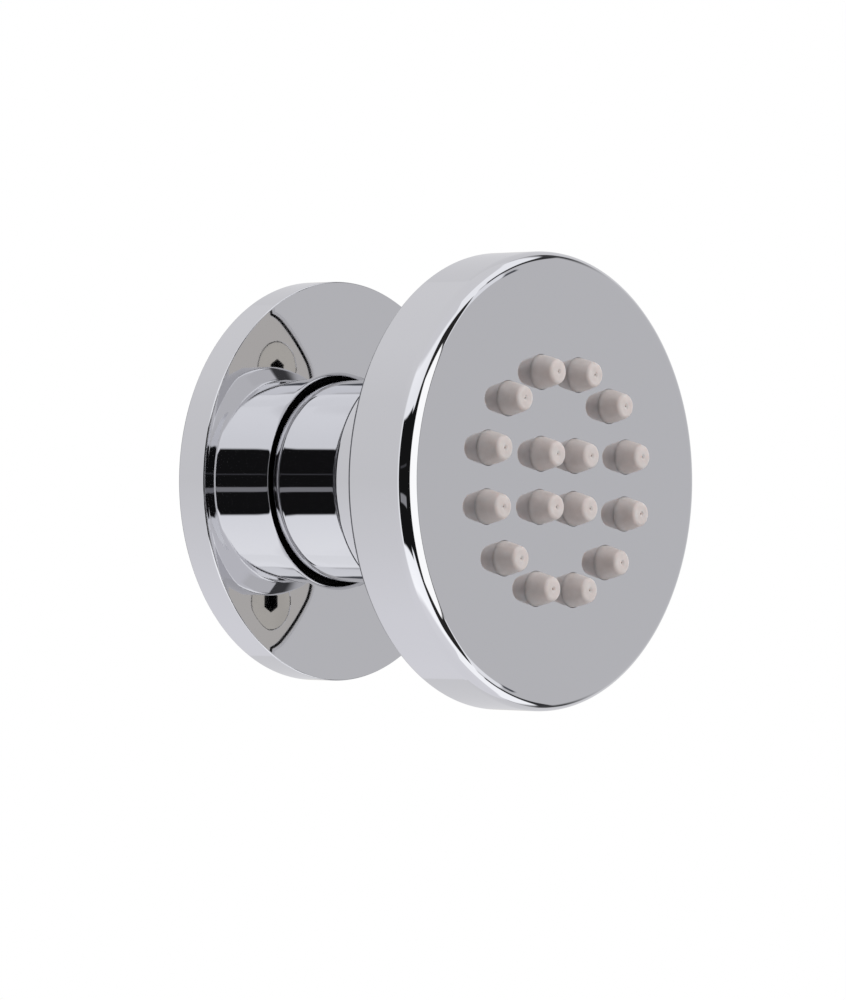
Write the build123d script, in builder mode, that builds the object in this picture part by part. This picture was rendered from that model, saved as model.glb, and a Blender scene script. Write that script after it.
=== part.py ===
from build123d import *
import os
from math import radians, sin, sqrt

# Shower body jet: a wall flange, a ball-jointed neck and a flat disc head with soft nozzles.
# Millimetres. The wall is the plane Y = 0, the jet points along -Y and +Z is up.
# "Reach" is the distance out of the wall, so a point at reach 10 has Y = -10.

# Wall flange
flange_radius = 31.5
flange_depth = 5.4
flange_front_wall = 2.0
flange_rim_wall = 2.2
flange_tube_wall = 1.8
flange_web = 1.2
flange_edge_chamfer = 0.4
flange_mouth_chamfer = 0.6
gasket_gap = 0.1

# Ball joint, from the ball outwards to the neck
ball_radius = 9.0
ball_ahead = 6.6
ball_flat_radius = 5.4
shank_radius = 6.2
running_gap = 0.05
liner_wall = 1.4
liner_latitude = 30.5
liner_front = 1.0
liner_slit = 1.0
nut_wall = 2.95
nut_pass = 0.2
nut_front = 0.7
nut_step = 0.6
notch_width = 2.4
notch_depth = 1.6
notch_count = 4
thread_gap = 0.05
end_gap = 0.05
seat_rear = 1.2
seat_hole_radius = 5.2
seal_latitude = 28.5
seal_width = 1.7
seal_depth = 1.2
seal_gap = 0.05
o_ring_setback = 0.8
o_ring_width = 1.5
o_ring_depth = 1.2
washer_thickness = 1.5
washer_lip = 0.4

# Neck and hub
neck_wall = 2.4
neck_gap = 0.6
neck_inset = 1.2
neck_length = 12.4
neck_mouth = 1.3
neck_edge_chamfer = 0.4
shoulder_length = 2.2
shoulder_rise = 2.4
shoulder_foot_round = 0.4
shoulder_top_round = 0.8
hub_length = 17.8
hub_wall = 3.0
hub_web = 2.5
hub_web_hole_radius = 6.5

# Disc head
head_radius = 35.0
head_depth = 11.7
head_turn = -1.4
back_plate = 3.0
plate_gap = 0.08
rim_wall = 1.0
face_wall = 1.8
rim_front_round = 2.6
rim_rear_chamfer = 0.6

# Nozzles, their mat and the perforated plate behind it
outer_ring_radius = 17.0
outer_ring_count = 12
inner_ring_radius = 5.7
inner_ring_count = 4
nozzle_base_radius = 2.65
nozzle_waist_radius = 2.4
nozzle_tip_radius = 1.95
nozzle_waist_height = 1.75
nozzle_height = 3.45
nozzle_bore_radius = 1.2
nozzle_tip_wall = 1.4
orifice_radius = 0.38
nozzle_gap = 0.05
mat_thickness = 1.6
jet_plate_thickness = 1.5
jet_plate_hole_margin = 0.3
jet_plate_margin = 1.05
jet_plate_ledge = 1.3
clamp_wall = 2.1
fit_gap = 0.1

# Screws in the back of the head
screw_count = 4
screw_radius = 2.5
screw_head_radius = 4.8
screw_grip = 4.5
screw_key = 3.0
screw_key_depth = 1.9
screw_key_angle = 30
screw_gap = 0.05
screw_tip_room = 0.5
post_radius = 4.6
post_gap = 2.3

# Inlet: half-inch pipe thread, strainer and flow regulator
thread_radius = 10.4775
thread_length = 14.0
thread_chamfer = 1.0
thread_hole_gap = 1.0
stop_lip = 1.7
stop_thickness = 1.2
nipple_key = 8.0
inlet_bore_radius = 6.5
inlet_bore_stop = 1.5
filter_lip_step = 0.5
filter_lip = 0.9
filter_wall = 0.6
filter_room = 1.1
filter_depth = 6.0
filter_hole_radius = 0.6
filter_hole_circle = 2.9
filter_hole_count = 8
regulator_length = 4.0
regulator_floor = 2.0
regulator_rim = 1.4
regulator_post_radius = 2.0
regulator_port_radius = 0.45
regulator_port_circle = 2.9
regulator_port_count = 6
regulator_ring_width = 1.2
regulator_ring_thickness = 1.2

# Radii that follow from the ball outwards
liner_bore = ball_radius + running_gap
liner_radius = liner_bore + liner_wall
nut_bore = liner_radius + running_gap
nut_radius = nut_bore + nut_wall
nut_opening = ball_radius + nut_pass
neck_bore = nut_radius + thread_gap
neck_radius = neck_bore + neck_wall
seat_bore = neck_bore - nut_step
seat_radius = seat_bore - running_gap
hub_radius = neck_radius + shoulder_rise
hub_cavity_radius = hub_radius - hub_wall
flange_hole_radius = neck_radius + neck_gap
flange_tube_radius = flange_hole_radius + flange_tube_wall
flange_recess_radius = flange_radius - flange_rim_wall

# Places along the jet, as reaches out of the wall
ball_reach = flange_depth + ball_ahead
neck_rear = flange_depth - neck_inset
neck_front = flange_depth + neck_length
hub_rear = neck_front + shoulder_length
back_reach = hub_rear + hub_length
plate_front = back_reach + back_plate
face_reach = back_reach + head_depth
face_inner = face_reach - face_wall
mat_rear = face_inner - mat_thickness
jet_plate_rear = mat_rear - jet_plate_thickness

# Places on the ball joint, as distances ahead of the ball's centre
ball_flat = sqrt(ball_radius**2 - ball_flat_radius**2)
ball_foot = -sqrt(ball_radius**2 - shank_radius**2)
liner_rear = -liner_bore * sin(radians(liner_latitude))
nut_rear = -sqrt(nut_bore**2 - nut_opening**2)
seat_front = sqrt(liner_bore**2 - seat_hole_radius**2)
seal_rear = liner_bore * sin(radians(seal_latitude)) - seal_width / 2
seal_front = seal_rear + seal_width
nut_stop = nut_front + end_gap
washer_rear = seat_front + end_gap
washer_front = washer_rear + washer_thickness

# Sizes of the head that follow from its nozzles and its rim
jet_plate_radius = outer_ring_radius + nozzle_base_radius + jet_plate_margin
chamber_radius = jet_plate_radius - jet_plate_ledge
clamp_radius = jet_plate_radius + fit_gap + clamp_wall
rim_inner_radius = head_radius - rim_wall
back_plate_radius = rim_inner_radius - plate_gap
nozzle_tip_reach = face_reach + nozzle_height
nozzle_bore_depth = nozzle_tip_reach - nozzle_tip_wall - mat_rear
nozzle_tip_length = nozzle_height - nozzle_waist_height
nozzle_rings = ((outer_ring_radius, outer_ring_count), (inner_ring_radius, inner_ring_count))
screw_circle_radius = rim_inner_radius - post_radius - post_gap
screw_ring = ((screw_circle_radius, screw_count),)
screw_cone = screw_head_radius - screw_radius
screw_end = plate_front + screw_grip

# Places of the inlet, which lies behind the wall at negative reach
inlet_rear = -thread_length
filter_seat = inlet_rear + filter_lip + end_gap
filter_lip_radius = inlet_bore_radius + filter_lip_step
filter_radius = inlet_bore_radius - filter_room
regulator_front = -inlet_bore_stop - end_gap
regulator_rear = regulator_front - regulator_length
regulator_radius = inlet_bore_radius - running_gap
regulator_recess_radius = regulator_radius - regulator_rim
regulator_recess_floor = regulator_front - regulator_floor
stop_radius = thread_radius + stop_lip
stop_front = flange_web + stop_thickness

# Lengths closer than this count as the same when an edge is looked for
same = 1e-4


def at(radius, reach):
    """Point of a section in the XY plane, given by its radius and its reach out of the wall."""
    return (radius, -reach)


def facing(reach):
    """Plane across the jet at a reach: its x is X, its y is Z and its normal points out of the wall."""
    return Plane(origin=(0, -reach, 0), x_dir=(1, 0, 0), z_dir=(0, -1, 0))


def section(*corners):
    """Section to be turned about the jet's axis, given by its corners of radius and reach."""
    with BuildSketch() as profile:
        with BuildLine():
            Polyline(*[at(radius, reach) for radius, reach in corners], close=True)
        make_face()
    return profile.sketch


def round_edges(piece, radius, reach):
    """Edges of a turned piece that go round the jet's axis with a radius at a reach."""
    turned = piece.edges().filter_by(GeomType.CIRCLE).filter_by(lambda edge: abs(edge.radius - radius) < same)
    return turned.filter_by_position(Axis.Y, -reach - same, -reach + same)


def ring(inner, outer, rear, front):
    """Square section of a ring."""
    return section((inner, rear), (outer, rear), (outer, front), (inner, front))


def on_ball(radius, ahead):
    """Point of a section on a sphere round the ball's centre, a distance ahead of that centre."""
    return at(sqrt(radius**2 - ahead**2), ball_reach + ahead)


def ball_arc(radius, start, end):
    """Arc of a section along a sphere round the ball's centre, between two distances ahead of it."""
    ThreePointArc(
        on_ball(radius, start),
        on_ball(radius, (start + end) / 2),
        on_ball(radius, end),
    )


def circles(rings, reach, radius):
    """Circles across the jet at a reach, spread evenly on rings given by their radius and count."""
    with BuildSketch(facing(reach)) as spread:
        for ring_radius, count in rings:
            with PolarLocations(ring_radius, count, start_angle=180 / count + head_turn):
                Circle(radius)
    return spread.sketch


def cones(rings, reach, bottom, top, height, mode=Mode.ADD):
    """Cones that narrow outwards from a reach, spread as the circles are."""
    for ring_radius, count in rings:
        with Locations(facing(reach)):
            with PolarLocations(ring_radius, count, start_angle=180 / count + head_turn):
                Cone(bottom, top, height, align=(Align.CENTER, Align.CENTER, Align.MIN), mode=mode)


# Wall flange: a shallow cup with a tube round the neck and a web that the nipple clamps to the wall
with BuildPart() as wall_flange:
    revolve(
        section(
            (thread_radius + thread_hole_gap, 0),
            (flange_tube_radius, 0),
            (flange_tube_radius, flange_depth - flange_front_wall),
            (flange_recess_radius, flange_depth - flange_front_wall),
            (flange_recess_radius, 0),
            (flange_radius, 0),
            (flange_radius, flange_depth),
            (flange_hole_radius, flange_depth),
            (flange_hole_radius, flange_web),
            (thread_radius + thread_hole_gap, flange_web),
        ),
        axis=Axis.Y,
    )
    chamfer(round_edges(wall_flange, flange_radius, flange_depth), flange_edge_chamfer)
    chamfer(round_edges(wall_flange, flange_hole_radius, flange_depth), flange_mouth_chamfer)

# Foam ring that fills the recess in the back of the flange and seals it on the tiles
with BuildPart() as wall_gasket:
    revolve(
        ring(
            flange_tube_radius + gasket_gap,
            flange_recess_radius - gasket_gap,
            0,
            flange_depth - flange_front_wall - gasket_gap,
        ),
        axis=Axis.Y,
    )

# Ball nipple: pipe thread, stop shoulder, shank and ball, with a hexagon waterway for the key
with BuildPart() as ball_nipple:
    with BuildSketch():
        with BuildLine():
            Polyline(
                at(0, ball_reach + ball_flat),
                at(0, inlet_rear),
                at(thread_radius - thread_chamfer, inlet_rear),
                at(thread_radius, inlet_rear + thread_chamfer),
                at(thread_radius, flange_web),
                at(stop_radius, flange_web),
                at(stop_radius, stop_front),
                at(shank_radius, stop_front),
                on_ball(ball_radius, ball_foot),
            )
            ball_arc(ball_radius, ball_foot, ball_flat)
            Line(on_ball(ball_radius, ball_flat), at(0, ball_reach + ball_flat))
        make_face()
    revolve(axis=Axis.Y)
    with BuildSketch(facing(inlet_rear)):
        Circle(filter_lip_radius)
    extrude(amount=filter_seat - inlet_rear, mode=Mode.SUBTRACT)
    with BuildSketch(facing(filter_seat)):
        Circle(inlet_bore_radius)
    extrude(amount=-inlet_bore_stop - filter_seat, mode=Mode.SUBTRACT)
    with BuildSketch(facing(-inlet_bore_stop)):
        RegularPolygon(nipple_key / 2, 6, major_radius=False)
    extrude(amount=ball_reach + ball_flat + inlet_bore_stop, mode=Mode.SUBTRACT)

# Split liner between the ball and the nut
with BuildPart() as rear_ball_liner:
    with BuildSketch():
        with BuildLine():
            ball_arc(liner_bore, liner_rear, -liner_front)
            Line(on_ball(liner_bore, -liner_front), on_ball(liner_radius, -liner_front))
            ball_arc(liner_radius, -liner_front, liner_rear)
            Line(on_ball(liner_radius, liner_rear), on_ball(liner_bore, liner_rear))
        make_face()
    revolve(axis=Axis.Y)
    with BuildSketch(facing(ball_reach + liner_rear)):
        with Locations((0, -liner_radius / 2)):
            Rectangle(liner_slit, liner_radius)
    extrude(amount=-liner_front - liner_rear, mode=Mode.SUBTRACT)

# Ring nut in the mouth of the neck: it passes over the ball and is held back by the liner
with BuildPart() as swivel_nut:
    with BuildSketch():
        with BuildLine():
            ball_arc(nut_bore, nut_rear, 0)
            Polyline(
                on_ball(nut_bore, 0),
                at(nut_bore, ball_reach + nut_front),
                at(nut_radius, ball_reach + nut_front),
                at(nut_radius, ball_reach + nut_rear),
                on_ball(nut_bore, nut_rear),
            )
        make_face()
    revolve(axis=Axis.Y)
    with BuildSketch(facing(ball_reach + nut_rear)):
        with PolarLocations(nut_radius, notch_count):
            Rectangle(nut_wall, notch_width)
    extrude(amount=notch_depth, mode=Mode.SUBTRACT)

# Seat in front of the ball, with a groove for the ball seal and one for the ring seal outside
with BuildPart() as front_ball_seat:
    with BuildSketch():
        with BuildLine():
            ball_arc(liner_bore, seat_rear, seat_front)
            Polyline(
                on_ball(liner_bore, seat_front),
                at(seat_radius, ball_reach + seat_front),
                at(seat_radius, ball_reach + seat_rear),
                on_ball(liner_bore, seat_rear),
            )
        make_face()
    revolve(axis=Axis.Y)
    revolve(
        ring(
            0,
            liner_bore + seal_depth + seal_gap,
            ball_reach + seal_rear - seal_gap,
            ball_reach + seal_front + seal_gap,
        ),
        axis=Axis.Y,
        mode=Mode.SUBTRACT,
    )
    revolve(
        ring(
            seat_radius - o_ring_depth - seal_gap,
            seat_bore,
            ball_reach + seat_rear + o_ring_setback - seal_gap,
            ball_reach + seat_rear + o_ring_setback + o_ring_width + seal_gap,
        ),
        axis=Axis.Y,
        mode=Mode.SUBTRACT,
    )

# Rubber ring that wipes the ball
with BuildPart() as ball_seal:
    with BuildSketch():
        with BuildLine():
            ball_arc(liner_bore, seal_rear, seal_front)
            Polyline(
                on_ball(liner_bore, seal_front),
                at(liner_bore + seal_depth, ball_reach + seal_front),
                at(liner_bore + seal_depth, ball_reach + seal_rear),
                on_ball(liner_bore, seal_rear),
            )
        make_face()
    revolve(axis=Axis.Y)

# Square rubber ring between the seat and the bore of the neck
with BuildPart() as seat_o_ring:
    revolve(
        ring(
            seat_radius - o_ring_depth,
            seat_radius,
            ball_reach + seat_rear + o_ring_setback,
            ball_reach + seat_rear + o_ring_setback + o_ring_width,
        ),
        axis=Axis.Y,
    )

# Rubber washer that presses the seat on the ball
with BuildPart() as thrust_washer:
    revolve(
        ring(
            seat_hole_radius + washer_lip,
            seat_bore - fit_gap,
            ball_reach + washer_rear,
            ball_reach + washer_front,
        ),
        axis=Axis.Y,
    )

# Head body: neck, sloped shoulder, hub and back plate turned in one piece, hollow all through
with BuildPart() as head_body:
    revolve(
        section(
            (neck_bore + neck_mouth, neck_rear),
            (neck_radius, neck_rear),
            (neck_radius, neck_front),
            (hub_radius, hub_rear),
            (hub_radius, back_reach),
            (back_plate_radius, back_reach),
            (back_plate_radius, plate_front),
            (clamp_radius, plate_front),
            (clamp_radius, mat_rear),
            (jet_plate_radius + fit_gap, mat_rear),
            (jet_plate_radius + fit_gap, jet_plate_rear),
            (chamber_radius, jet_plate_rear),
            (chamber_radius, plate_front),
            (hub_cavity_radius, plate_front),
            (hub_cavity_radius, ball_reach + washer_front + hub_web),
            (hub_web_hole_radius, ball_reach + washer_front + hub_web),
            (hub_web_hole_radius, ball_reach + washer_front),
            (seat_bore, ball_reach + washer_front),
            (seat_bore, ball_reach + nut_stop),
            (neck_bore, ball_reach + nut_stop),
            (neck_bore, neck_rear + neck_mouth),
        ),
        axis=Axis.Y,
    )
    chamfer(round_edges(head_body, neck_radius, neck_rear), neck_edge_chamfer)
    fillet(round_edges(head_body, neck_radius, neck_front), shoulder_foot_round)
    fillet(round_edges(head_body, hub_radius, hub_rear), shoulder_top_round)
    cones(
        screw_ring,
        back_reach,
        screw_head_radius + screw_gap,
        screw_radius + screw_gap,
        screw_cone,
        mode=Mode.SUBTRACT,
    )
    extrude(
        circles(screw_ring, back_reach, screw_radius + screw_gap),
        amount=screw_end + screw_tip_room - back_reach,
        mode=Mode.SUBTRACT,
    )

# Spray face: a cup with the flat face, the rim and four posts for the screws
with BuildPart() as spray_face:
    revolve(
        section(
            (0, face_inner),
            (rim_inner_radius, face_inner),
            (rim_inner_radius, back_reach),
            (head_radius, back_reach),
            (head_radius, face_reach),
            (0, face_reach),
        ),
        axis=Axis.Y,
    )
    chamfer(round_edges(spray_face, head_radius, back_reach), rim_rear_chamfer)
    fillet(round_edges(spray_face, head_radius, face_reach), rim_front_round)
    extrude(circles(screw_ring, plate_front, post_radius), amount=face_inner - plate_front)
    with BuildSketch(facing(plate_front)):
        Circle(clamp_radius + fit_gap)
    extrude(amount=face_inner - plate_front, mode=Mode.SUBTRACT)
    extrude(
        circles(screw_ring, plate_front, screw_radius + screw_gap),
        amount=screw_grip + screw_tip_room,
        mode=Mode.SUBTRACT,
    )
    extrude(
        circles(nozzle_rings, face_inner, nozzle_base_radius + nozzle_gap),
        amount=face_wall,
        mode=Mode.SUBTRACT,
    )

# Nozzle mat: one silicone moulding whose sixteen hollow nozzles stand out through the face
with BuildPart() as nozzle_mat:
    with BuildSketch(facing(mat_rear)):
        Circle(clamp_radius)
    extrude(amount=mat_thickness)
    extrude(circles(nozzle_rings, face_inner, nozzle_base_radius), amount=face_wall)
    cones(nozzle_rings, face_reach, nozzle_base_radius, nozzle_waist_radius, nozzle_waist_height)
    cones(
        nozzle_rings,
        face_reach + nozzle_waist_height,
        nozzle_waist_radius,
        nozzle_tip_radius,
        nozzle_tip_length,
    )
    extrude(
        circles(nozzle_rings, mat_rear, nozzle_bore_radius),
        amount=nozzle_bore_depth,
        mode=Mode.SUBTRACT,
    )
    extrude(
        circles(nozzle_rings, mat_rear, orifice_radius),
        amount=nozzle_tip_reach - mat_rear,
        mode=Mode.SUBTRACT,
    )

# Perforated plate that backs the mat and feeds its nozzles
with BuildPart() as nozzle_plate:
    with BuildSketch(facing(jet_plate_rear)):
        Circle(jet_plate_radius)
    extrude(amount=jet_plate_thickness)
    extrude(
        circles(nozzle_rings, jet_plate_rear, nozzle_bore_radius + jet_plate_hole_margin),
        amount=jet_plate_thickness,
        mode=Mode.SUBTRACT,
    )

# Countersunk screws with hexagon sockets, through the back plate into the posts
with BuildPart() as head_screws:
    cones(screw_ring, back_reach, screw_head_radius, screw_radius, screw_cone)
    extrude(circles(screw_ring, back_reach, screw_radius), amount=screw_end - back_reach)
    with BuildSketch(facing(back_reach)):
        screw_start = 180 / screw_count + head_turn
        with PolarLocations(screw_circle_radius, screw_count, start_angle=screw_start, rotate=False):
            RegularPolygon(screw_key / 2, 6, major_radius=False, rotation=screw_key_angle)
    extrude(amount=screw_key_depth, mode=Mode.SUBTRACT)

# Strainer cup in the inlet
with BuildPart() as inlet_filter:
    revolve(
        section(
            (filter_radius - filter_wall, inlet_rear),
            (filter_lip_radius - running_gap, inlet_rear),
            (filter_lip_radius - running_gap, inlet_rear + filter_lip),
            (filter_radius, inlet_rear + filter_lip),
            (filter_radius, inlet_rear + filter_depth),
            (0, inlet_rear + filter_depth),
            (0, inlet_rear + filter_depth - filter_wall),
            (filter_radius - filter_wall, inlet_rear + filter_depth - filter_wall),
        ),
        axis=Axis.Y,
    )
    with BuildSketch(facing(inlet_rear + filter_depth - filter_wall)):
        Circle(filter_hole_radius)
        with PolarLocations(filter_hole_circle, filter_hole_count):
            Circle(filter_hole_radius)
    extrude(amount=filter_wall, mode=Mode.SUBTRACT)

# Flow regulator: a cup with a centre post and a ring of ports, and the rubber ring that throttles them
with BuildPart() as flow_regulator:
    revolve(
        section(
            (0, regulator_rear),
            (regulator_post_radius, regulator_rear),
            (regulator_post_radius, regulator_recess_floor),
            (regulator_recess_radius, regulator_recess_floor),
            (regulator_recess_radius, regulator_rear),
            (regulator_radius, regulator_rear),
            (regulator_radius, regulator_front),
            (0, regulator_front),
        ),
        axis=Axis.Y,
    )
    with BuildSketch(facing(regulator_recess_floor)):
        with PolarLocations(regulator_port_circle, regulator_port_count):
            Circle(regulator_port_radius)
    extrude(amount=regulator_floor, mode=Mode.SUBTRACT)

with BuildPart() as regulator_ring:
    revolve(
        ring(
            regulator_recess_radius - running_gap - regulator_ring_width,
            regulator_recess_radius - running_gap,
            regulator_recess_floor - end_gap - regulator_ring_thickness,
            regulator_recess_floor - end_gap,
        ),
        axis=Axis.Y,
    )

pieces = {
    "wall_flange": wall_flange,
    "wall_gasket": wall_gasket,
    "ball_nipple": ball_nipple,
    "inlet_filter": inlet_filter,
    "flow_regulator": flow_regulator,
    "regulator_ring": regulator_ring,
    "rear_ball_liner": rear_ball_liner,
    "front_ball_seat": front_ball_seat,
    "ball_seal": ball_seal,
    "seat_o_ring": seat_o_ring,
    "thrust_washer": thrust_washer,
    "swivel_nut": swivel_nut,
    "head_body": head_body,
    "spray_face": spray_face,
    "nozzle_mat": nozzle_mat,
    "nozzle_plate": nozzle_plate,
    "head_screws": head_screws,
}

os.makedirs("parts", exist_ok=True)
for name, piece in pieces.items():
    piece.part.label = name
    export_step(piece.part, f"parts/{name}.step")
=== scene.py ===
"""Dress the shower body jet for its photograph.

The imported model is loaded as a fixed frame. Pieces that show from outside are made again here as smooth
surfaces of the same size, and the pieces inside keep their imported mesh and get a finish.

Lengths are millimetres until a mesh is made, and metres in the studio. A "reach" is the distance out of the
wall, so a point at reach 10 has y = -10 mm. The jet points along -y and +z is up.
"""
import logging
import math
from dataclasses import dataclass, field, replace
from enum import Enum
from typing import Any, Iterable, Optional, Sequence, Union

import bmesh
import bpy
import numpy as np
from mathutils import Matrix, Vector
from mathutils.geometry import delaunay_2d_cdt


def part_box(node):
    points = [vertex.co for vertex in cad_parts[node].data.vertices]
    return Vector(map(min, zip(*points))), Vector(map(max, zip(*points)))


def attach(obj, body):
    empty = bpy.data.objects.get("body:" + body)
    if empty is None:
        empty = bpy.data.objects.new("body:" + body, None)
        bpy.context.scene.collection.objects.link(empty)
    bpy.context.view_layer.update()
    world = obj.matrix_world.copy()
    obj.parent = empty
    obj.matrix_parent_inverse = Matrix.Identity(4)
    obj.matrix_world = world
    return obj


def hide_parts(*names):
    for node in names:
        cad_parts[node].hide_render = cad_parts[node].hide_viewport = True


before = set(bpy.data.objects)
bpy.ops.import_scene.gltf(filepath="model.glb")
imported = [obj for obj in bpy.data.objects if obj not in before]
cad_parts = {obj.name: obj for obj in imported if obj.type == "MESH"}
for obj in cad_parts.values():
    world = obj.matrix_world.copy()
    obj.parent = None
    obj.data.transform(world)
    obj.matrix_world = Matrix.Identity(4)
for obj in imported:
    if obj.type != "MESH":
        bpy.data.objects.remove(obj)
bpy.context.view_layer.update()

log = logging.getLogger("body_jet")

MM = 0.001

# Points round a large ring, a nozzle and a screw; six goes into the last, which keeps hexagons sharp
RING_SEGMENTS = 256
NOZZLE_SEGMENTS = 64
HEX_SEGMENTS = 96

# Longest step of a rounded corner, and the fewest steps that it has
ARC_STEP = math.radians(7.5)
ARC_LEAST_STEPS = 4

# Width of the strip that keeps a flat flat beside a rounded corner, and of a web's margin for it
SUPPORT = 0.02
MARGIN = 2 * SUPPORT

# Share of a pitch that is flat at a thread's crest, and the same again at its root
THREAD_FLAT = 0.12

# Points closer than this, in metres, are one; edges sharper than this angle stay sharp
MERGE = 1e-6
SHARP_ANGLE = math.radians(30)

# How a web is filled: with triangles inside its edges, and with points this close taken as one
INSIDE_EDGES = 1
WEB_MERGE = 1e-9

# Bands that a wave texture draws in one unit of its scaled coordinates
WAVE_BANDS = 20 / (2 * math.pi)

Corner = Union[tuple[float, float], tuple[float, float, float]]
Tree = bpy.types.NodeTree
Node = bpy.types.Node
Socket = bpy.types.NodeSocket


class Body(Enum):
    """Bodies of the frame that the pieces made here ride on."""

    WALL = "wall_part"
    HEAD = "spray_head"


class Slot(Enum):
    """Material slots of the record."""

    CHROME = "chrome_plate"
    FOAM = "foam_rubber"
    BRASS = "turned_brass"
    ACETAL = "natural_acetal"
    PTFE = "white_ptfe"
    RUBBER = "black_rubber"
    SILICONE = "grey_silicone"
    STEEL = "stainless_steel"


def linear(colour: str, alpha: float = 1.0) -> tuple[float, float, float, float]:
    """Turn an sRGB hex colour into linear values.

    Args:
        colour: Six hex digits after a hash sign.
        alpha: Fourth value of the result.

    Returns:
        Linear red, green and blue, and alpha.
    """
    srgb = np.array([int(colour[place : place + 2], 16) for place in (1, 3, 5)]) / 255
    low = srgb / 12.92
    high = ((srgb + 0.055) / 1.055) ** 2.4
    return (*np.where(srgb <= 0.04045, low, high).tolist(), alpha)


def per_mm(size: float) -> float:
    """Scale of a texture on Object coordinates whose features are this many millimetres across."""
    return 1 / (size * MM)


def add(
    tree: Tree,
    kind: str,
    inputs: Optional[dict[Union[str, int], Any]] = None,
    stops: Sequence[tuple[float, str]] = (),
    **settings: Any,
) -> Node:
    """Add a node with its settings and links.

    Args:
        tree: Node tree that gets the node.
        kind: Node type without the words ShaderNode.
        inputs: Value, or output socket to link, for each named or numbered input.
        stops: Places and hex colours of a colour ramp.
        settings: Attributes of the node.

    Returns:
        The new node.
    """
    made = tree.nodes.new("ShaderNode" + kind)
    for name, value in settings.items():
        setattr(made, name, value)
    for name, value in (inputs or {}).items():
        if isinstance(value, Socket):
            tree.links.new(value, made.inputs[name])
        else:
            made.inputs[name].default_value = value
    for place, (position, colour) in enumerate(stops):
        elements = made.color_ramp.elements
        stop = elements[place] if place < len(elements) else elements.new(position)
        stop.position = position
        stop.color = linear(colour)
    return made


@dataclass(frozen=True)
class Finish:
    """A material: its colour and gloss, and a pattern that a kind of finish adds.

    Attributes:
        name: Material and how its surface was made.
        colour: Base colour as sRGB hex.
        roughness: Middle of the roughness.
        metallic: 1 for bare or plated metal, 0 for anything else, such as an oxide.
    """

    name: str
    colour: str
    roughness: float
    metallic: float = 0.0

    def material(self) -> bpy.types.Material:
        """Make the material on first use.

        Returns:
            The material.
        """
        made = bpy.data.materials.get(self.name)
        if made is None:
            made = bpy.data.materials.new(self.name)
            made.use_nodes = True
            tree = made.node_tree
            shader = tree.nodes["Principled BSDF"]
            shader.inputs["Base Color"].default_value = linear(self.colour)
            shader.inputs["Roughness"].default_value = self.roughness
            shader.inputs["Metallic"].default_value = self.metallic
            place = add(tree, "TexCoord").outputs["Object"]
            self.pattern(tree, shader, place)
        return made

    def pattern(self, tree: Tree, shader: Node, place: Socket) -> None:
        """Add this finish's pattern to the shader, on Object coordinates."""

    def spread_roughness(self, tree: Tree, shader: Node, noise: Socket, spread: float) -> None:
        """Let a noise move the roughness about its middle.

        Args:
            tree: The material's nodes.
            shader: The principled shader.
            noise: Value between 0 and 1.
            spread: How far the roughness moves each way.
        """
        varied = add(
            tree,
            "MapRange",
            {"Value": noise, "To Min": self.roughness - spread, "To Max": self.roughness + spread},
        )
        tree.links.new(varied.outputs["Result"], shader.inputs["Roughness"])

    def emboss(self, tree: Tree, shader: Node, height: Socket, depth: float) -> None:
        """Let a height between 0 and 1 dent the surface by a depth in millimetres."""
        bump = add(tree, "Bump", {"Height": height, "Distance": depth * MM, "Strength": 1.0})
        tree.links.new(bump.outputs["Normal"], shader.inputs["Normal"])


@dataclass(frozen=True)
class PolishedChrome(Finish):
    """Chrome plated on buffed brass: a near mirror, with faint buffing haze and the least waviness.

    Attributes:
        haze: Width of the cloudy patches that buffing leaves, in millimetres.
        haze_spread: Share of the roughness that they add or take.
        wave: Length of the waves that the buffing wheel leaves, in millimetres.
        wave_depth: Depth of those waves, in millimetres.
    """

    haze: float = 9.0
    haze_spread: float = 0.5
    wave: float = 14.0
    wave_depth: float = 0.004

    def pattern(self, tree: Tree, shader: Node, place: Socket) -> None:
        """Add the haze as roughness and the waves as bump.

        Args:
            tree: The material's nodes.
            shader: The principled shader.
            place: Object coordinates.
        """
        haze = add(tree, "TexNoise", {"Vector": place, "Scale": per_mm(self.haze), "Detail": 3.0})
        self.spread_roughness(tree, shader, haze.outputs["Fac"], self.roughness * self.haze_spread)
        wave = add(tree, "TexNoise", {"Vector": place, "Scale": per_mm(self.wave), "Detail": 0.0})
        self.emboss(tree, shader, wave.outputs["Fac"], self.wave_depth)


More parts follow.
